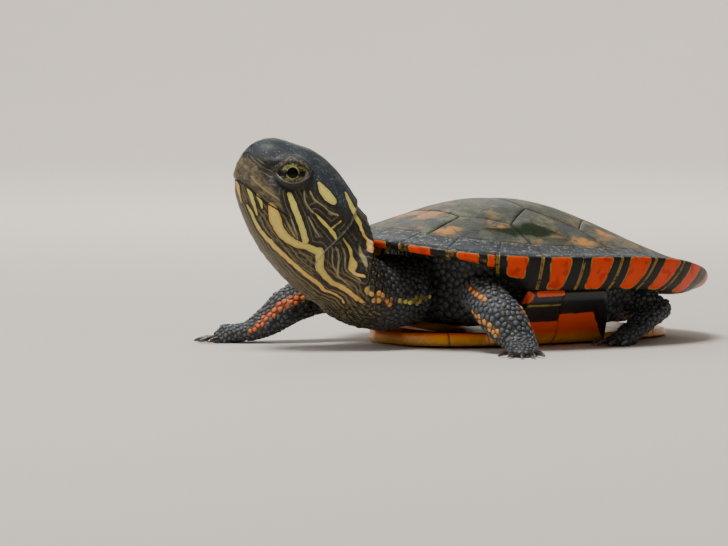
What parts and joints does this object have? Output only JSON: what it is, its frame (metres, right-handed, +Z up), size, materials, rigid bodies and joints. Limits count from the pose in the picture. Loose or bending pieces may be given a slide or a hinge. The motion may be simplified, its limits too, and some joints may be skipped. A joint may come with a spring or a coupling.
{
  "type": "painted turtle",
  "caption": "Young painted turtle, life size, in mid step with its head raised: domed shell with red-barred rim, flat plastron, webbed clawed feet and short tail.",
  "frame": {"origin": "on the flat underside of the plastron, the plane the turtle stands on, below the middle of the carapace", "axes": "+X to the turtle's left, +Y towards its tail, +Z up; it faces -Y"},
  "size_m": [0.0621, 0.0779, 0.0291],
  "materials": {
    "carapace": "dark olive horn with a low sheen",
    "marginals": "black horn with red bars and a low sheen",
    "plastron": "yellow-orange horn with a low sheen",
    "skin": "dark scaly skin with yellow and red stripes",
    "eye": "wet gloss",
    "claw": "satin horn"
  },
  "bodies": {
    "root": {"vertebral_scute_1": "carapace", "vertebral_scute_2": "carapace", "vertebral_scute_3": "carapace", "vertebral_scute_4": "carapace", "vertebral_scute_5": "carapace", "pleural_scute_left_1": "carapace", "pleural_scute_left_2": "carapace", "pleural_scute_left_3": "carapace", "pleural_scute_left_4": "carapace", "pleural_scute_right_1": "carapace", "pleural_scute_right_2": "carapace", "pleural_scute_right_3": "carapace", "pleural_scute_right_4": "carapace", "nuchal_scute": "marginals", "marginal_scutes_left": "marginals", "marginal_scutes_right": "marginals", "plastron_gular": "plastron", "plastron_humeral": "plastron", "plastron_pectoral": "plastron", "plastron_abdominal": "plastron", "plastron_femoral": "plastron", "plastron_anal": "plastron", "head": "skin", "lower_jaw": "skin", "neck": "skin", "trunk": "skin", "foreleg_left": "skin", "foreleg_right": "skin", "hindleg_left": "skin", "hindleg_right": "skin", "tail": "skin", "eye_left": "eye", "eye_right": "eye", "foreleg_left_claw_1": "claw", "foreleg_left_claw_2": "claw", "foreleg_left_claw_3": "claw", "foreleg_left_claw_4": "claw", "foreleg_left_claw_5": "claw", "foreleg_right_claw_1": "claw", "foreleg_right_claw_2": "claw", "foreleg_right_claw_3": "claw", "foreleg_right_claw_4": "claw", "foreleg_right_claw_5": "claw", "hindleg_left_claw_1": "claw", "hindleg_left_claw_2": "claw", "hindleg_left_claw_3": "claw", "hindleg_left_claw_4": "claw", "hindleg_right_claw_1": "claw", "hindleg_right_claw_2": "claw", "hindleg_right_claw_3": "claw", "hindleg_right_claw_4": "claw"}
  },
  "joints": []
}
